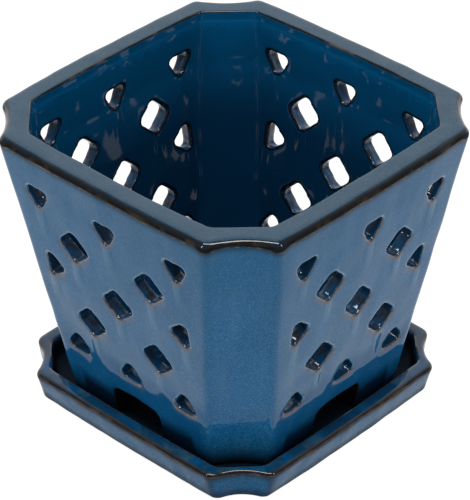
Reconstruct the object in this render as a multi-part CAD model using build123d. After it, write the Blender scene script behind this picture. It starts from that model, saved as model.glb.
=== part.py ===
from build123d import *
from math import sqrt
import os

# Square orchid pot with pierced walls, standing in its saucer.
# Millimetres, +Z up, origin under the middle of the saucer, walls square to X and Y.

# Pot outside, measured across its flats
rim_width = 163
foot_width = 119.4
pot_height = 134.5
rim_corner_cut = 21            # length taken off each side where the square corner is cut away
foot_corner_cut = 18.5
rim_scallop = 2.6              # depth of the hollow in the cut corner
foot_scallop = 2.2
rim_bow = 1.4                  # swell of a side beyond a straight line
foot_bow = 0.3
nub_radius = 5                 # rounding at both ends of a corner hollow
rim_outer_radius = 4
foot_outer_radius = 1.6

# Pot inside
wall = 6.4
rim_wall = 12.3                # the wall thickens towards the rim
neck_depth = 27                # height of the thickened band under the rim
floor_thickness = 8
cavity_radius = 5
rim_inner_radius = 0.9
drain_diameter = 18

# Foot ring under the pot floor, open in the middle of each side
foot_height = 16
foot_wall = 8.5
notch_width = 27
notch_radius = 3

# Slots, staggered in rows on each wall: whole diamonds inside, cut-off ones round the edge
top_row_drop = 21.8            # rim down to the line of the top row
bottom_row_rise = 6.6          # pot floor up to the line of the bottom row
top_margin = 17.3              # end of the flat wall to the outer column, in the top row
bottom_margin = 13.7           # the same in the bottom row
column_share = 0.575           # inner columns, as a share of the way to the outer ones
slot_radius = 1.8
diamond_width = 17
diamond_height = 16
top_slot_width = 13.4
top_slot_height = 11.2
side_slot_width = 15
side_slot_height = 10
bottom_slot_width = 14.5
bottom_slot_height = 9.8
end_slot_offset = 2.4          # straight edge of a top or bottom slot beyond its row
side_slot_offset = 4.8         # straight edge of a side slot beyond its column
side_slot_rise = 3.2           # side slots above the middle row

# Saucer, measured across its flats
foot_clearance = 3.6           # pot foot to the side of the well
saucer_height = 16
saucer_floor = 6.5
saucer_wall = 8.2
saucer_inner_lean = 1.2        # the well opens by this much on each side
saucer_outer_lean = 4.6
saucer_rim_cut = 19            # corner cuts, like the pot's
saucer_base_cut = 14.2
well_corner_cut = 14.2
saucer_rim_scallop = 3.6
saucer_base_scallop = 3
saucer_bow = 0.8
saucer_rim_radius = 2.2
saucer_mouth_radius = 2
well_radius = 2.2
saucer_foot_radius = 2

side_count = 4
bottom_row, lower_row, middle_row, upper_row, top_row = range(5)

foot_level = saucer_floor
floor_underside = foot_level + foot_height
floor_level = floor_underside + floor_thickness
rim_level = foot_level + pot_height
neck_level = rim_level - neck_depth


def around(shapes):
    # The same shapes on all four sides
    return [shape.rotate(Axis.Z, turn * 360 / side_count) for turn in range(side_count) for shape in shapes]


def outline(half, cut, bow, scallop, level):
    # Square with swelling sides and cut corners, hollow ones where there is a scallop
    end = half - cut
    side = ThreePointArc((-end, -half), (0, -half - bow), (end, -half))
    middle = half - cut / 2 - scallop / sqrt(2)
    if scallop:
        corner = ThreePointArc((end, -half), (middle, -middle), (half, -end))
    else:
        corner = Line((end, -half), (half, -end))
    face = make_face(around([side, corner]))
    return Pos(0, 0, level) * fillet(face.vertices(), nub_radius)


def inner_cut(cut, scallop, thickness):
    # Straight corner cut that leaves the same thickness behind the hollow as along the sides
    return cut + sqrt(2) * scallop - (2 - sqrt(2)) * thickness


def rising(at_foot, at_rim, level):
    # Value at a level, changing evenly from the pot's foot to its rim
    return at_foot + (at_rim - at_foot) * (level - foot_level) / pot_height


def pot_half(level):
    return rising(foot_width, rim_width, level) / 2


def pot_cut(level):
    return rising(foot_corner_cut, rim_corner_cut, level)


def pot_scallop(level):
    return rising(foot_scallop, rim_scallop, level)


def pot_bow(level):
    return rising(foot_bow, rim_bow, level)


def pot_outside(level):
    return outline(pot_half(level), pot_cut(level), pot_bow(level), pot_scallop(level), level)


def pot_inside(level, thickness):
    cut = inner_cut(pot_cut(level), pot_scallop(level), thickness)
    return outline(pot_half(level) - thickness, cut, pot_bow(level), 0, level)


def top_face(solid):
    return solid.faces().sort_by(Axis.Z)[-1]


def bottom_face(solid):
    return solid.faces().sort_by(Axis.Z)[0]


def rounded(*corners):
    return fillet(Polygon(*corners, align=None).vertices(), slot_radius)


def cut_off_slot(width, height, offset, turn):
    # Rounded triangle with its straight edge beyond the lattice point
    triangle = rounded((-width / 2, -offset), (width / 2, -offset), (0, height - offset))
    return Rot(0, 0, turn) * triangle


def slot_pattern():
    # Column, row and outline of each slot on one wall
    diamond = rounded(
        (diamond_width / 2, 0),
        (0, diamond_height / 2),
        (-diamond_width / 2, 0),
        (0, -diamond_height / 2),
    )
    pointing_up = cut_off_slot(bottom_slot_width, bottom_slot_height, end_slot_offset, 0)
    pointing_down = cut_off_slot(top_slot_width, top_slot_height, end_slot_offset, 180)
    beside = Pos(0, side_slot_rise)
    pointing_right = beside * cut_off_slot(side_slot_width, side_slot_height, side_slot_offset, -90)
    pointing_left = beside * cut_off_slot(side_slot_width, side_slot_height, side_slot_offset, 90)
    slots = [(0, middle_row, diamond), (-1, middle_row, pointing_right), (1, middle_row, pointing_left)]
    for column in (-1, 0, 1):
        slots.append((column, bottom_row, pointing_up))
        slots.append((column, top_row, pointing_down))
    for column in (-column_share, column_share):
        slots.append((column, lower_row, diamond))
        slots.append((column, upper_row, diamond))
    return slots


def lattice_point(column, row):
    # Place of a slot on the wall: distance from the centre line, and level
    share = row / top_row
    bottom_level = floor_level + bottom_row_rise
    level = bottom_level + (rim_level - top_row_drop - bottom_level) * share
    margin = bottom_margin + (top_margin - bottom_margin) * share
    return column * (pot_half(level) - pot_cut(level) - margin), level


def slot_cutters():
    # Each slot goes through square to the leaning wall
    lean = (rim_width - foot_width) / 2 / pot_height
    reach = rim_wall + rim_bow
    cutters = []
    for column, row, shape in slot_pattern():
        place, level = lattice_point(column, row)
        plane = Plane((place, -pot_half(level), level), x_dir=(1, 0, 0), z_dir=(0, -1, -lean))
        cutters.append(extrude(plane * shape, amount=reach, both=True))
    return around(cutters)


def foot_notches():
    # One tunnel each way under the floor opens the foot ring in the middle of all four sides
    arch = Rectangle(notch_width, 2 * foot_height)
    arch = fillet(arch.vertices().group_by(Axis.Y)[-1], notch_radius)
    tunnel = extrude(Plane.XZ * Pos(0, foot_level) * arch, amount=foot_width, both=True)
    return [tunnel, tunnel.rotate(Axis.Z, 360 / side_count)]


def make_pot():
    body = loft([pot_outside(foot_level), pot_outside(rim_level)], ruled=True)
    body = fillet(top_face(body).outer_wire().edges(), rim_outer_radius)
    body = fillet(bottom_face(body).outer_wire().edges(), foot_outer_radius)
    sections = [
        pot_inside(floor_level, wall),
        pot_inside(neck_level, wall),
        pot_inside(rim_level, rim_wall),
    ]
    cavity = loft(sections, ruled=True)
    cavity = fillet(bottom_face(cavity).outer_wire().edges(), cavity_radius)
    body -= cavity
    body = fillet(top_face(body).inner_wires()[0].edges(), rim_inner_radius)
    recess = loft([pot_inside(foot_level, foot_wall), pot_inside(floor_underside, foot_wall)], ruled=True)
    drain = Pos(0, 0, floor_level - floor_thickness / 2) * Cylinder(drain_diameter / 2, 2 * floor_thickness)
    return body - [recess, drain] - foot_notches() - slot_cutters()


def saucer_inside(half, level):
    return outline(half, well_corner_cut, saucer_bow, 0, level)


def make_saucer():
    well_half = foot_width / 2 + foot_clearance
    mouth_half = well_half + saucer_inner_lean
    rim_half = mouth_half + saucer_wall
    base_half = rim_half - saucer_outer_lean
    sections = [
        outline(base_half, saucer_base_cut, saucer_bow, saucer_base_scallop, 0),
        outline(rim_half, saucer_rim_cut, saucer_bow, saucer_rim_scallop, saucer_height),
    ]
    dish = loft(sections, ruled=True)
    dish = fillet(top_face(dish).outer_wire().edges(), saucer_rim_radius)
    dish = fillet(bottom_face(dish).outer_wire().edges(), saucer_foot_radius)
    well = loft(
        [saucer_inside(well_half, saucer_floor), saucer_inside(mouth_half, saucer_height)],
        ruled=True,
    )
    dish -= fillet(bottom_face(well).outer_wire().edges(), well_radius)
    return fillet(top_face(dish).inner_wires()[0].edges(), saucer_mouth_radius)


os.makedirs("parts", exist_ok=True)
for node, shape in {"saucer": make_saucer(), "pot": make_pot()}.items():
    shape.label = node
    export_step(shape, f"parts/{node}.step")
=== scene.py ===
import math
import bmesh
import bpy
import numpy as np
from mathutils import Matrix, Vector
from mathutils.kdtree import KDTree


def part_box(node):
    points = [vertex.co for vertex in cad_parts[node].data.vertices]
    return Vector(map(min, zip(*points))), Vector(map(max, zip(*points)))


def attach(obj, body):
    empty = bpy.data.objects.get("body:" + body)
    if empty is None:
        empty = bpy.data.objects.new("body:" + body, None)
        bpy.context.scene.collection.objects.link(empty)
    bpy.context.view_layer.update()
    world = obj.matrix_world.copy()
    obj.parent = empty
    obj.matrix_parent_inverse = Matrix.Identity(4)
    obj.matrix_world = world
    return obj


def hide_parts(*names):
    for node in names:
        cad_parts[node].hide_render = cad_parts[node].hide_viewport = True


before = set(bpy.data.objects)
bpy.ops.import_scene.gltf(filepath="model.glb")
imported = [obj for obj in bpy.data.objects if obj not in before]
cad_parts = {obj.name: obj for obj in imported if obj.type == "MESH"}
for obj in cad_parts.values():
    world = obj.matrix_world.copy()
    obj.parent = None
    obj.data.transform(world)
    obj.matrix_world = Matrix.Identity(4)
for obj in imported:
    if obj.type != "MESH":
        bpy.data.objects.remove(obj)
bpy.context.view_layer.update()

print("frame loaded:", sorted(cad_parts))


# Small tools for modelling

def selectOnly(obj):
    bpy.ops.object.select_all(action="DESELECT")
    obj.select_set(True)
    bpy.context.view_layer.objects.active = obj


def applyModifier(obj, kind, **settings):
    modifier = obj.modifiers.new(kind.lower(), kind)
    for name, value in settings.items():
        setattr(modifier, name, value)
    selectOnly(obj)
    bpy.ops.object.modifier_apply(modifier=modifier.name)


def readVectors(items, name):
    values = np.empty(len(items) * 3)
    items.foreach_get(name, values)
    return values.reshape(-1, 3)


def ramp(values, low, high):
    # 0 below low, 1 above high, smooth between
    share = np.clip((values - low) / (high - low), 0, 1)
    return share * share * (3 - 2 * share)


def addMark(piece, name, values):
    layer = piece.data.attributes.new(name, "FLOAT", "POINT")
    layer.data.foreach_set("value", values.astype(np.float32))


def addGroup(piece, name, weights):
    addMark(piece, name, weights)
    piece.data.attributes.active = piece.data.attributes[name]
    selectOnly(piece)
    bpy.ops.geometry.attribute_convert(mode="VERTEX_GROUP")


def clayBody(nodeName, pieceName):
    # a merged copy of the solid is the raw clay, the solid itself is left alone
    clay = bpy.data.objects.new(pieceName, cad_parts[nodeName].data.copy())
    bpy.context.scene.collection.objects.link(clay)
    selectOnly(clay)
    bpy.ops.object.mode_set(mode="EDIT")
    bpy.ops.mesh.select_all(action="SELECT")
    bpy.ops.mesh.remove_doubles(threshold=1e-6)
    bpy.ops.object.mode_set(mode="OBJECT")
    clay.data.materials.clear()
    return clay


def sharpEdges(clay, look):
    # points along the cut edges of the clay, where the glaze runs thin
    solid = bmesh.new()
    solid.from_mesh(clay.data)
    points = []
    for edge in solid.edges:
        if len(edge.link_faces) == 2 and edge.calc_face_angle() > look["sharpAngle"]:
            start, end = (corner.co.copy() for corner in edge.verts)
            count = math.ceil(edge.calc_length() / look["edgeStep"])
            points += [start.lerp(end, (place + 0.5) / count) for place in range(count)]
    solid.free()
    edges = KDTree(len(points))
    for index, point in enumerate(points):
        edges.insert(point, index)
    edges.balance()
    print(clay.name, "edge points:", len(points))
    return edges, points


def wallPlaces(points):
    # which wall a point belongs to, its place across that wall, and its height
    endOn = abs(points[:, 0]) > abs(points[:, 1])
    wall = np.where(endOn, np.sign(points[:, 0]), 3 * np.sign(points[:, 1]))
    across = np.where(endOn, points[:, 1], points[:, 0])
    return np.column_stack((wall, across, points[:, 2]))


def lowPoints(edges, points, look):
    # lowest points of the cut edges, where runs of glaze start
    lowest = []
    for point in points:
        around = edges.find_range(point, look["dripApart"])
        floor = min(place.z for place, index, gap in around)
        if point.z > look["dripFloor"] and floor > point.z - look["edgeStep"] / 2:
            lowest.append(point)
    places = wallPlaces(np.array(lowest))
    starts = KDTree(len(places))
    for index, place in enumerate(places):
        starts.insert((place[0], place[1], look["dripPull"] * place[2]), index)
    starts.balance()
    return starts, places


def dripShares(piece, starts, places, look):
    # 1 in the middle of a run of glaze, 0 beside it and past its end
    spots = wallPlaces(readVectors(piece.data.vertices, "co"))
    nearest = np.empty(len(spots), int)
    for index, spot in enumerate(spots):
        nearest[index] = starts.find((spot[0], spot[1], look["dripPull"] * spot[2]))[1]
    start = places[nearest]
    beside = abs(start[:, 1] - spots[:, 1])
    fallen = start[:, 2] - spots[:, 2]
    near = (1 - ramp(beside, *look["dripWidth"])) * (start[:, 0] == spots[:, 0])
    return near * ramp(fallen, -0.001, 0.002) * (1 - ramp(fallen, *look["dripLength"]))


def edgeGaps(piece, edges):
    # distance of each point from the nearest cut edge, and how steeply it lies under that edge
    points = readVectors(piece.data.vertices, "co")
    gap = np.empty(len(points))
    below = np.empty(len(points))
    for index, point in enumerate(points):
        nearest, place, gap[index] = edges.find(point)
        below[index] = nearest.z - point[2]
    return gap, below / np.maximum(gap, 1e-6)


def layQuads(clay, look):
    # even skin of small quads with the edges melted a little
    applyModifier(clay, "REMESH", mode="VOXEL", voxel_size=look["skin"])
    applyModifier(clay, "SMOOTH", factor=0.5, iterations=look["meltPasses"])
    print(clay.name, "skin:", len(clay.data.polygons), "faces")


def roundLips(clay, edges, look):
    # thick glaze rolls over the cut edges
    gap, below = edgeGaps(clay, edges)
    addGroup(clay, "lips", 1 - ramp(gap, *look["lipReach"]))
    applyModifier(clay, "SMOOTH", factor=0.5, iterations=look["lipPasses"], vertex_group="lips")


def innerSide(clay, nodeName):
    # how squarely each point faces the middle, and how far it lies below the piece's top
    points = readVectors(clay.data.vertices, "co")
    normals = readVectors(clay.data.vertices, "normal")
    inwards = -(points[:, :2] * normals[:, :2]).sum(axis=1) / np.hypot(points[:, 0], points[:, 1])
    return inwards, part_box(nodeName)[1].z - points[:, 2]


def smoothNeck(clay, edges, nodeName, look):
    # the thickening under the rim has no fold inside
    inwards, drop = innerSide(clay, nodeName)
    gap, below = edgeGaps(clay, edges)
    near = 1 - ramp(abs(drop - look["neck"]), *look["neckReach"])
    addGroup(clay, "neck", near * ramp(inwards, 0.5, 0.8) * ramp(gap, 0.002, 0.005))
    applyModifier(clay, "SMOOTH", factor=0.5, iterations=look["neckPasses"], vertex_group="neck")


def addDrips(clay, starts, places, look):
    addGroup(clay, "drips", dripShares(clay, starts, places, look))
    applyModifier(clay, "DISPLACE", strength=look["dripDepth"], mid_level=0, vertex_group="drips")


def addLedge(clay, nodeName, look):
    # the inner side swells a little below the rim
    inwards, drop = innerSide(clay, nodeName)
    addGroup(clay, "ledge", ramp(inwards, 0.3, 0.7) * ramp(drop, *look["ledgeHeights"]))
    applyModifier(clay, "DISPLACE", strength=look["ledge"], mid_level=0, vertex_group="ledge")


def unevenness(piece, name, size, depth, look, stretch=1, octaves=0, group=""):
    # clouds pushed in along the surface, stretched down the walls if asked
    clouds = bpy.data.textures.new(piece.name + name, "CLOUDS")
    clouds.noise_scale = size
    clouds.noise_depth = octaves
    bpy.ops.object.empty_add()
    grid = bpy.context.object
    grid.scale = (1, 1, stretch)
    bpy.context.view_layer.update()
    applyModifier(
        piece, "DISPLACE", texture=clouds, texture_coords="OBJECT", texture_coords_object=grid,
        strength=depth, mid_level=look["sink"], vertex_group=group)
    bpy.data.objects.remove(grid)


def finishSkin(piece, nodeName, look):
    # waves of a hand-dipped glaze, then fewer faces, all inside the solid's box
    rise = readVectors(piece.data.vertices, "co")[:, 2]
    addGroup(piece, "low", 1 - look["calm"] * ramp(rise, *look["calmHeights"]))
    unevenness(piece, "Swell", *look["swell"], look)
    unevenness(piece, "Lumps", *look["lumps"], look, group="low")
    unevenness(piece, "Runs", *look["runs"], look, look["runStretch"], octaves=1)
    share = look["triangles"] / (2 * len(piece.data.polygons))
    applyModifier(piece, "DECIMATE", ratio=min(share, 1))
    piece.vertex_groups.clear()
    low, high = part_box(nodeName)
    points = np.clip(readVectors(piece.data.vertices, "co"), low, high)
    piece.data.vertices.foreach_set("co", points.ravel())
    piece.data.update()
    selectOnly(piece)
    bpy.ops.object.shade_smooth()
    print(piece.name, "thinned:", len(piece.data.polygons), "faces")


def markFacing(piece):
    # outside: 1 on outer walls, -1 on inner ones; square: 1 on the walls, 0 in the slots' sides;
    # corner: distance from the middle of the nearest corner hollow
    points = readVectors(piece.data.vertices, "co")[:, :2]
    normals = readVectors(piece.data.vertices, "normal")[:, :2]
    reach = np.maximum(np.hypot(points[:, 0], points[:, 1]), 1e-6)
    addMark(piece, "outside", (points * normals).sum(axis=1) / reach)
    endOn = abs(points[:, 0]) > abs(points[:, 1])
    addMark(piece, "square", abs(np.where(endOn, normals[:, 0], normals[:, 1])))
    addMark(piece, "corner", abs(abs(points[:, 0]) - abs(points[:, 1])))


def markEdges(piece, edges):
    gap, below = edgeGaps(piece, edges)
    addMark(piece, "gap", gap)
    addMark(piece, "below", below)


# Shader maths: a socket that can be added, multiplied and mixed

class Wire:
    def __init__(self, tree, socket):
        self.tree = tree
        self.socket = socket

    def maths(self, operation, left, right):
        return addNode(self.tree, "ShaderNodeMath", {"operation": operation}, {0: left, 1: right})

    def __add__(self, other):
        return self.maths("ADD", self, other)

    def __radd__(self, other):
        return self.maths("ADD", other, self)

    def __sub__(self, other):
        return self.maths("SUBTRACT", self, other)

    def __rsub__(self, other):
        return self.maths("SUBTRACT", other, self)

    def __mul__(self, other):
        return self.maths("MULTIPLY", self, other)

    def __rmul__(self, other):
        return self.maths("MULTIPLY", other, self)


def addNode(tree, kind, settings=None, inputs=None, output=0):
    node = tree.nodes.new(kind)
    for name, value in (settings or {}).items():
        setattr(node, name, value)
    for name, value in (inputs or {}).items():
        if isinstance(value, Wire):
            tree.links.new(value.socket, node.inputs[name])
        else:
            node.inputs[name].default_value = value
    return Wire(tree, node.outputs[output])


class Painter:
    # one material and the nodes that its finish is made of
    def __init__(self, name):
        self.material = bpy.data.materials.new(name)
        self.material.use_nodes = True
        self.tree = self.material.node_tree
        self.shader = self.tree.nodes["Principled BSDF"]
        self.place = self.node("ShaderNodeTexCoord", output="Object")
        self.height = self.node("ShaderNodeSeparateXYZ", {}, {0: self.place}, output="Z")

    def node(self, kind, settings=None, inputs=None, output=0):
        return addNode(self.tree, kind, settings, inputs, output)

    def stretched(self, scale):
        return self.node("ShaderNodeMapping", {}, {"Vector": self.place, "Scale": scale})

    def noise(self, scale, detail=2.0, rough=0.5, bend=0.0, place=None):
        sockets = {
            "Vector": place or self.place, "Scale": scale,
            "Detail": detail, "Roughness": rough, "Distortion": bend}
        return self.node("ShaderNodeTexNoise", {}, sockets)

    def step(self, value, low, high):
        # 0 below low, 1 above high, smooth between
        sockets = {"Value": value, "From Min": low, "From Max": high}
        return self.node("ShaderNodeMapRange", {"interpolation_type": "SMOOTHSTEP"}, sockets)

    def window(self, value, low, high, soft):
        # 1 between low and high, 0 beyond
        return self.step(value, low - soft, low + soft) * (1 - self.step(value, high - soft, high + soft))

    def mix(self, share, first, second):
        return self.node(
            "ShaderNodeMix", {"data_type": "RGBA"},
            {0: share, 6: first, 7: second}, output=2)

    def mark(self, name):
        return self.node(
            "ShaderNodeAttribute", {"attribute_type": "GEOMETRY", "attribute_name": name}, output="Fac")

    def finish(self, **sockets):
        for name, value in sockets.items():
            socket = self.shader.inputs[name.replace("_", " ")]
            if isinstance(value, Wire):
                self.tree.links.new(value.socket, socket)
            else:
                socket.default_value = value
        return self.material

    def dull(self, share, colour):
        # where the glaze is burnt matt it hardly mirrors anything
        matt = self.node("ShaderNodeBsdfPrincipled", {}, {"Base Color": colour, "Roughness": 0.6, "IOR": 1.1})
        glossy = Wire(self.tree, self.shader.outputs[0])
        both = self.node("ShaderNodeMixShader", {}, {0: share, 1: glossy, 2: matt})
        self.tree.links.new(both.socket, self.tree.nodes["Material Output"].inputs["Surface"])


# Floating blue glaze: clouds, mottling, fine speckle and a few pale flecks that run down

def glazeBody(paint, look, pooledAndLit=0.0):
    clouds = paint.noise(45, detail=3)
    mottle = paint.noise(260, detail=3, rough=0.6)
    speckle = paint.noise(2000, detail=1, rough=0.6)
    depth = 0.15 * clouds + 0.1 * mottle + 0.75 * speckle + pooledAndLit
    colour = paint.mix(paint.step(depth, 0.41, 0.68), look["deep"], look["mid"])
    specks = paint.step(paint.noise(1300, detail=1), 0.58, 0.70)
    colour = paint.mix(specks * 0.22, colour, look["pale"])
    runs = paint.noise(1, detail=4, rough=0.6, place=paint.stretched((420, 420, 70)))
    streaks = paint.noise(1, detail=2, place=paint.stretched((150, 150, 14)))
    flecks = paint.step(runs, 0.60, 0.72) + paint.step(streaks, 0.5, 0.75)
    return paint.mix(flecks * look["fleckShare"], colour, look["pale"]), mottle


def glazeWaves(paint, strength):
    waves = paint.noise(70, detail=1)
    peel = paint.noise(420, detail=1)
    return paint.node(
        "ShaderNodeBump", {},
        {"Strength": strength, "Distance": 0.001, "Height": 0.8 * waves + 0.03 * peel})


# Pot

potLook = {
    "skin": 0.0006,                      # edge of one quad of the skin
    "meltPasses": 8,
    "lipReach": (0.0012, 0.0034),        # full and no extra rounding, from the cut edges
    "lipPasses": 24,
    "dripApart": 0.004,                  # runs of glaze start at the low points of the slots
    "dripFloor": 0.045,                  # but not of the lowest row
    "dripPull": 0.12,
    "dripWidth": (0.0003, 0.0024),
    "dripLength": (0.004, 0.017),
    "dripDepth": 0.00025,
    "neck": 0.027,                       # fold inside, down from the rim's top
    "neckReach": (0.008, 0.014),
    "neckPasses": 120,
    "ledge": 0.0004,                     # the glaze inside ends in a small step under the rim
    "ledgeHeights": (0.0046, 0.0058),    # from the rim's top down
    "swell": (0.035, 0.0006),            # size and depth of the wide unevenness
    "lumps": (0.015, 0.0009),            # of the small one, which is calmer higher up
    "calm": 0.6,
    "calmHeights": (0.035, 0.07),
    "runs": (0.012, 0.0004),             # and of the runs down the walls
    "runStretch": 5,
    "sink": 0.8,                         # share of the unevenness that goes inwards
    "sharpAngle": math.radians(40),
    "edgeStep": 0.0004,
    "triangles": 190000,
}
potGlaze = {
    "deep": (0.0005, 0.061, 0.139, 1),
    "mid": (0.013, 0.106, 0.252, 1),
    "pale": (0.10, 0.22, 0.31, 1),
    "dripShare": 0.18,
    "veil": (0.11, 0.15, 0.20, 1),        # painted grey sheen of reflected light on the walls, stronger lower down
    "veilShare": 0.16,
    "veilHeights": (0.05, 0.13),
    "veilFoot": (0.037, 0.045),           # the painted sheen ends here
    "lowBlue": (0.001, 0.046, 0.130, 1),  # and the blue is deeper below
    "lowShare": 0.6,
    "highShare": 0.35,                    # and deeper again under the rim
    "highHeights": (0.085, 0.135),
    "fleckShare": 0.08,
    "pool": 0.05,                         # more of the lighter blue in the corner hollows: pooled glaze, and painted light brightening the hollows
    "insideTop": (0.0005, 0.052, 0.130, 1),
    "insideLow": (0.0005, 0.013, 0.036, 1),  # painted shade, darkest down in the pot
    "insideHeights": (0.085, 0.135),
    "rim": (0.022, 0.045, 0.067, 1),      # grey on the rim's flat, a painted reflection of the bright surroundings
    "rimPale": (0.036, 0.061, 0.085, 1),
    "bandDark": (0.003, 0.0025, 0.002, 1),
    "bandNavy": (0.003, 0.008, 0.014, 1),
    "footDark": (0.002, 0.012, 0.030, 1),
    "tan": (0.15, 0.095, 0.05, 1),
    "lip": (0.016, 0.011, 0.009, 1),
    "lipInside": (0.002, 0.002, 0.003, 1),
    "reveal": (0.002, 0.034, 0.085, 1),   # sides of the slots, painted darker as shade in the slots
    "underBand": (0.003, 0.007, 0.012, 1),
    "bandDull": (0.0028, 0.0022),         # the band is matt below here
    "underReach": 0.0052,                 # the glaze is dark this far below the band
    "clay": (0.012, 0.010, 0.010, 1),
    "rimTop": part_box("pot")[1].z,
    "bandTop": 0.0008,                    # dark band, measured down from the rim's top
    "bandFoot": 0.0035,
    "bandLift": 0.0002,                   # the band's top is higher at the corners
    "bandRise": 0.0007,                   # the band's foot rises in the corner hollows
    "bandDrop": 0.0012,                   # and hangs on the ridges beside them
    "hollow": 0.015,
    "ridge": (0.0175, 0.0255),
    "innerLine": 0.0010,
    "slotHeights": (0.0335, 0.128),
    "darkFoot": (0.0165, 0.0255),         # painted shade fades out between these heights
    "darkLower": 0.0070,                  # and lower down at the corners
    "bareFoot": (0.007, 0.010),           # and ends here
    "floorUnderside": 0.0235,
    "ior": 1.265,
    "bandCoat": 0.4,                      # the band is thick and glassy
    "lipCoat": 0.65,                      # and so are the lips and sides of the slots
}


def paintPot(look):
    paint = Painter("potGlaze")
    gap, below, outside = paint.mark("gap"), paint.mark("below"), paint.mark("outside")
    square, corner = paint.mark("square"), paint.mark("corner")
    # lighter blue in the corner hollows, partly pooled glaze and partly painted light
    pooledAndLit = look["pool"] * (1 - paint.step(corner, look["hollow"] - 0.005, look["ridge"][1]))
    colour, mottle = glazeBody(paint, look, pooledAndLit)
    wander = 0.0008 * mottle - 0.0004
    height = paint.height + wander
    fine = paint.noise(600, detail=2)
    outer = paint.step(outside, 0.2, 0.5)
    inner = paint.step(-1 * outside, 0.2, 0.5)
    nearCorner = 1 - paint.step(corner, look["ridge"][1], look["ridge"][1] + 0.004)
    hollow = 1 - paint.step(corner, look["hollow"] - 0.007, look["hollow"])
    rising = paint.step(paint.height, *look["insideHeights"])
    # painted shade on the inside of the pot, darker lower down
    colour = paint.mix((1 - outer) * 0.95, colour, paint.mix(rising, look["insideLow"], look["insideTop"]))

    # outside: pale drips, a deeper blue under the rim and at the foot, and a grey painted sheen of reflected
    # light between
    colour = paint.mix(outer * paint.mark("drip") * look["dripShare"], colour, look["pale"])
    high = outer * paint.step(paint.height, *look["highHeights"])
    colour = paint.mix(high * look["highShare"], colour, look["deep"])
    onWall = outer * paint.step(corner, *look["ridge"])
    overFoot = paint.step(height, *look["veilFoot"])
    # patches of painted sheen standing in for reflected light, stronger lower down
    patches = (0.2 + 1.6 * paint.noise(38)) * (1 - paint.step(paint.height, *look["veilHeights"]))
    colour = paint.mix(onWall * overFoot * patches * look["veilShare"], colour, look["veil"])
    colour = paint.mix(onWall * (1 - overFoot) * look["lowShare"], colour, look["lowBlue"])

    # round the cut edges: a smear below, a pale painted highlight on the upper lips, a broken tan line and
    # dark lips
    pierced = outer * paint.step(paint.height, look["slotHeights"][0] - 0.004, look["slotHeights"][0] - 0.003)
    smear = pierced * (1 - paint.step(gap, 0.0016, 0.0048)) * paint.step(below + 0.6 * fine, 0.5, 1.1)
    colour = paint.mix(smear * 0.3, colour, look["tan"])
    lower = paint.step(below, -0.3, 0.4)
    # pale painted highlight along the upper lips of the slots
    upperLipHighlight = pierced * paint.window(gap + 0.5 * wander, 0.0010, 0.0017, 0.0003) * (1 - lower)
    colour = paint.mix(upperLipHighlight * 0.5, colour, look["pale"])
    lip = 1 - paint.step(gap + 0.3 * wander, 0.0010, 0.0014)
    colour = paint.mix(lip * (0.3 + 0.6 * lower), colour, look["lip"])
    lipInside = inner * (1 - paint.step(gap + 0.5 * wander, 0.0014, 0.0022))
    colour = paint.mix(lipInside * 0.9, colour, look["lipInside"])
    line = pierced * paint.window(gap + 0.4 * wander, 0.0011, 0.0015, 0.0002) * paint.step(fine, 0.40, 0.56)
    colour = paint.mix(line * lower * 0.8, colour, look["tan"])
    # the slots' sides are painted darker as shade in the slots, with brown patches
    inSlot = (1 - paint.step(square, 0.3, 0.7)) * (1 - paint.step(gap, 0.0050, 0.0065)) * paint.window(
        paint.height, *look["slotHeights"], 0.0005)
    burnt = paint.step(paint.noise(260), 0.48, 0.64)
    colour = paint.mix(inSlot, colour, paint.mix(burnt * 0.7, look["reveal"], look["lip"]))
    glassy = inSlot * (0.3 + 0.7 * paint.step(paint.noise(450), 0.42, 0.60))

    # rim: a grey painted reflection on the flat, a dark inner edge, and outside the dark band with a tan
    # lower edge
    top = look["rimTop"]
    bandTop = top - look["bandTop"] + look["bandLift"] * nearCorner
    overTop = height - bandTop
    grain = paint.noise(1400, detail=1)
    # the flat's grey is a painted reflection of the bright surroundings
    flat = paint.mix(paint.step(0.7 * grain + 0.3 * mottle, 0.35, 0.65), look["rim"], look["rimPale"])
    colour = paint.mix(paint.step(overTop, -0.0008, -0.0002) * 0.9, colour, flat)
    innerLine = inner * paint.step(height, top - look["innerLine"] - 0.0003, top - look["innerLine"])
    worn = paint.step(paint.noise(90), 0.52, 0.7) * 0.5
    colour = paint.mix(innerLine, colour, paint.mix(worn, look["bandDark"], look["tan"]))
    ridge = paint.window(corner, *look["ridge"], 0.002)
    uneven = 0.0020 * paint.noise(35) - 0.0010
    foot = top - look["bandFoot"] + look["bandRise"] * hollow - look["bandDrop"] * ridge + uneven
    overBand = height - foot
    under = outer * paint.step(overBand, -look["underReach"], 0.0005)
    colour = paint.mix(under * under * 0.9, colour, look["underBand"])
    bandLine = outer * paint.window(overBand, -0.0006, 0, 0.0002)
    colour = paint.mix(bandLine * paint.step(mottle, 0.45, 0.6) * 0.5, colour, look["tan"])
    band = paint.step(outside, 0.3, 0.5) * paint.step(overBand, -0.00025, 0.00025) * (
        1 - paint.step(overTop, -0.0002, 0.00005))
    dark = paint.mix(paint.step(overBand, 0.0010, 0.0026), look["bandDark"], look["bandNavy"])
    rust = paint.step(paint.noise(110), 0.5, 0.65) * (1 - paint.step(overBand, 0.0008, 0.0020))
    colour = paint.mix(band, colour, paint.mix(rust * 0.14, dark, look["tan"]))
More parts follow.
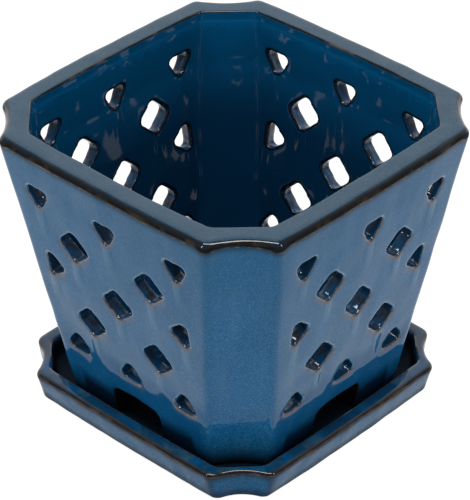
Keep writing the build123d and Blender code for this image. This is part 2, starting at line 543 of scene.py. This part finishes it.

    # painted shade above the foot where the saucer hides the wall, bare clay on the foot and under the floor
    footShadeLevel = paint.height + 0.003 * paint.noise(60) + look["darkLower"] * nearCorner
    colour = paint.mix(outer * (1 - paint.step(footShadeLevel, *look["darkFoot"])), colour, look["footDark"])
    low = 1 - paint.step(paint.height + 4 * wander, *look["bareFoot"])
    beneath = (1 - paint.step(paint.height, look["floorUnderside"], look["floorUnderside"] + 0.0003)) * (
        1 - outer)
    bare = low + (1 - low) * beneath
    colour = paint.mix(bare, colour, look["clay"])
    dullFoot, dullTop = (top - drop for drop in look["bandDull"])
    paint.dull(band * (1 - paint.step(paint.height, dullFoot, dullTop)) * 0.85, colour)
    return paint.finish(
        Base_Color=colour, Roughness=0.03 + 0.04 * mottle + 0.06 * inSlot + 0.2 * inner * lip + 0.45 * bare,
        IOR=look["ior"], Coat_Roughness=0.03, Normal=glazeWaves(paint, 0.32),
        Coat_Weight=look["bandCoat"] * band + look["lipCoat"] * (glassy + lip - glassy * lip + innerLine))


def makePot():
    pot = clayBody("pot", "slottedPot")
    edges, points = sharpEdges(pot, potLook)
    starts, places = lowPoints(edges, points, potLook)
    layQuads(pot, potLook)
    roundLips(pot, edges, potLook)
    smoothNeck(pot, edges, "pot", potLook)
    addDrips(pot, starts, places, potLook)
    addLedge(pot, "pot", potLook)
    finishSkin(pot, "pot", potLook)
    markFacing(pot)
    markEdges(pot, edges)
    addMark(pot, "drip", dripShares(pot, starts, places, potLook))
    pot.data.materials.append(paintPot(potGlaze))
    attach(pot, "pot")
    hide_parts("pot")


# Saucer

saucerLook = {
    "skin": 0.0007,
    "meltPasses": 6,
    "swell": (0.030, 0.0004),
    "lumps": (0.010, 0.0003),
    "calm": 0.5,
    "calmHeights": (0.012, 0.016),
    "runs": (0.008, 0.0001),
    "runStretch": 2,
    "sink": 0.8,
    "triangles": 170000,
}
saucerGlaze = {
    "deep": (0.002, 0.050, 0.128, 1),
    "mid": (0.010, 0.088, 0.184, 1),
    "pale": (0.10, 0.20, 0.23, 1),
    "fleckShare": 0.10,
    "well": (0.001, 0.006, 0.013, 1),     # painted shade in the well under the pot
    "rim": (0.002, 0.024, 0.058, 1),
    "rimPale": (0.028, 0.058, 0.072, 1),
    "rimBlue": (0.001, 0.042, 0.112, 1),
    "underLine": (0.014, 0.013, 0.013, 1),
    "underReach": 0.0055,
    "lineDull": (0.0017, 0.0012),         # the line is matt below here
    "lineDark": (0.0035, 0.003, 0.003, 1),
    "tan": (0.15, 0.085, 0.04, 1),
    "clay": (0.012, 0.010, 0.010, 1),
    "bareFoot": (0.0008, 0.0014),         # no glaze on the underside
    "rimTop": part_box("saucer")[1].z,
    "lineTop": 0.0009,                    # brown line, measured down from the rim's top
    "lineFoot": 0.0017,
    "mouth": 0.0012,                      # tan line at the mouth
    "wellTop": (0.0040, 0.0026),
    "nubs": (0.0165, 0.0215),             # brown under the corners of the rim
    "floorTop": 0.010,
    "underside": 0.004,
    "ior": 1.175,
    "lineCoat": 0.5,
    "crownCoat": 0.6,
    "stained": (0.0020, 0.0070),          # darker just above the ground
}


def paintSaucer(look):
    paint = Painter("saucerGlaze")
    colour, mottle = glazeBody(paint, look)
    outside = paint.mark("outside")
    wander = 0.0006 * mottle - 0.0003
    height = paint.height + wander
    fine = paint.noise(500, detail=2)
    top = look["rimTop"]
    outer = paint.step(outside, 0.15, 0.35)
    inner = paint.step(-1 * outside, 0.15, 0.4)
    wellFoot, wellTop = (top - drop for drop in look["wellTop"])
    crown = (1 - outer) * paint.step(height, wellFoot, wellTop)
    crown = crown + outer * paint.step(height, top - look["lineTop"] - 0.0006, top - look["lineTop"])
    patches = paint.step(paint.noise(70, detail=3), 0.50, 0.62)
    flat = paint.mix(patches, look["rim"], look["rimBlue"])
    worn = paint.step(paint.noise(110, detail=3, rough=0.6), 0.52, 0.72)
    flat = paint.mix(worn * 0.6, flat, look["rimPale"])
    colour = paint.mix(crown * 0.95, colour, flat)
    mouth = inner * paint.window(height, top - look["mouth"], top - 0.0004, 0.0003)
    colour = paint.mix(mouth * paint.step(fine, 0.36, 0.56) * 0.4, colour, look["tan"])
    # darker just above the ground
    stained = outer * (1 - paint.step(paint.height + 6 * wander, *look["stained"]))
    nubs = outer * paint.window(paint.mark("corner") + 4 * wander, *look["nubs"], 0.0015)
    colour = paint.mix(0.7 * stained + 0.4 * nubs * (1 - stained), colour, look["lineDark"])
    lineFoot = top - look["lineFoot"] + 0.0022 * paint.noise(60) - 0.0011
    streaks = paint.noise(1, detail=2, place=paint.stretched((90, 90, 40)))
    under = outer * paint.step(height - lineFoot + 0.006 * streaks - 0.003, -look["underReach"], 0.0005)
    colour = paint.mix(under * under * 0.9, colour, look["underLine"])
    edgeLine = outer * paint.window(height, lineFoot - 0.0005, lineFoot + 0.0002, 0.0002)
    colour = paint.mix(edgeLine * paint.step(mottle, 0.4, 0.6) * 0.4, colour, look["tan"])
    line = outer * paint.window(height, lineFoot, top - look["lineTop"], 0.0004)
    rust = paint.step(paint.noise(120), 0.5, 0.65)
    colour = paint.mix(line, colour, paint.mix(rust * 0.16, look["lineDark"], look["tan"]))
    # painted shade on the well's inner wall and floor under the pot
    wall = inner * (1 - paint.step(height, wellFoot, wellTop))
    floor = (1 - outer) * paint.window(paint.height, look["underside"], look["floorTop"], 0.0005)
    well = wall + (1 - wall) * floor
    colour = paint.mix(well, colour, look["well"])
    bare = 1 - paint.step(paint.height + wander, *look["bareFoot"])
    colour = paint.mix(bare, colour, look["clay"])
    dullFoot, dullTop = (top - drop for drop in look["lineDull"])
    matt = line * (1 - paint.step(paint.height, dullFoot, dullTop))
    paint.dull(0.85 * matt + 0.5 * stained, colour)
    return paint.finish(
        Base_Color=colour, Roughness=0.05 + 0.05 * mottle + 0.5 * well + 0.4 * bare, IOR=look["ior"],
        Coat_Weight=look["lineCoat"] * line + look["crownCoat"] * crown * (1 - line), Coat_Roughness=0.03,
        Normal=glazeWaves(paint, 0.2))


def makeSaucer():
    saucer = clayBody("saucer", "squareSaucer")
    layQuads(saucer, saucerLook)
    finishSkin(saucer, "saucer", saucerLook)
    markFacing(saucer)
    saucer.data.materials.append(paintSaucer(saucerGlaze))
    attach(saucer, "saucer")
    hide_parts("saucer")


# Camera, light table and lights

cameraLook = {
    "turn": math.radians(43.125),      # about +Z from the front
    "rise": math.radians(34.554),
    "distance": 1.2321,
    "target": Vector((0.0003, 0.0003, 0.0703)),
    "lens": 203.6,
    "sensor": 36,
}


def makeCamera(look):
    turn = look["turn"]
    rise = look["rise"]
    away = Vector((math.sin(turn) * math.cos(rise), -math.cos(turn) * math.cos(rise), math.sin(rise)))
    bpy.ops.object.camera_add(
        location=look["target"] + look["distance"] * away,
        rotation=(math.pi / 2 - rise, 0, turn))
    camera = bpy.context.object
    camera.data.lens = look["lens"]
    camera.data.sensor_width = look["sensor"]
    bpy.context.scene.camera = camera


tableLook = {
    "size": 4,
    "glow": 0.95,
}


def makeTable(look):
    bpy.ops.object.select_all(action="DESELECT")
    bpy.ops.mesh.primitive_plane_add(size=look["size"])
    table = bpy.context.object
    table.name = "lightTable"
    paint = Painter("whiteTable")
    table.data.materials.append(paint.finish(
        Base_Color=(0.12, 0.12, 0.12, 1), Roughness=0.9,
        Emission_Color=(1, 1, 1, 1), Emission_Strength=look["glow"]))


lightLook = {
    # tilt from straight above, turn round from the camera, distance, length, width, power
    "stripSoftbox": (math.radians(18), math.radians(-14), 1.6, 1.6, 0.32, 27),
    "leftSoftbox": (math.radians(62), math.radians(-55), 1.2, 0.13, 0.4, 2.6),
    "rightSoftbox": (math.radians(62), math.radians(55), 1.2, 0.13, 0.4, 2.6),
}
worldLook = {
    "backGlow": 1.2,
    "frontGlow": 0.28,
    "backTop": 0.75,           # height on the unit sphere where the backdrop ends
}


def makeLights(looks):
    for name, (tilt, aside, distance, length, width, power) in looks.items():
        turn = cameraLook["turn"] + aside
        away = Vector((math.sin(turn) * math.sin(tilt), -math.cos(turn) * math.sin(tilt), math.cos(tilt)))
        bpy.ops.object.light_add(type="AREA", location=distance * away, rotation=(tilt, 0, turn))
        lamp = bpy.context.object
        lamp.name = name
        lamp.data.shape = "RECTANGLE"
        lamp.data.size = length
        lamp.data.size_y = width
        lamp.data.energy = power


def makeWorld(look):
    world = bpy.data.worlds.new("studio")
    world.use_nodes = True
    bpy.context.scene.world = world
    tree = world.node_tree
    direction = addNode(tree, "ShaderNodeTexCoord", output="Generated")
    view = cameraLook["turn"]
    backwards = addNode(
        tree, "ShaderNodeVectorMath", {"operation": "DOT_PRODUCT"},
        {0: direction, 1: (-math.sin(view), math.cos(view), 0)}, output="Value")
    height = addNode(
        tree, "ShaderNodeVectorMath", {"operation": "DOT_PRODUCT"},
        {0: direction, 1: (0, 0, 1)}, output="Value")
    behind = addNode(
        tree, "ShaderNodeMapRange", {"interpolation_type": "SMOOTHSTEP"},
        {"Value": backwards, "From Min": 0.0, "From Max": 0.5})
    low = addNode(
        tree, "ShaderNodeMapRange", {"interpolation_type": "SMOOTHSTEP"},
        {"Value": height, "From Min": look["backTop"], "From Max": look["backTop"] + 0.15,
         "To Min": 1.0, "To Max": 0.0})
    glow = look["frontGlow"] + behind * low * (look["backGlow"] - look["frontGlow"])
    tree.links.new(glow.socket, tree.nodes["Background"].inputs["Strength"])
    tree.nodes["Background"].inputs["Color"].default_value = (1, 1, 1, 1)


makeCamera(cameraLook)
makeTable(tableLook)
makeLights(lightLook)
makeWorld(worldLook)
makeSaucer()
makePot()
bpy.context.scene.view_settings.view_transform = "Standard"
print("pieces made")
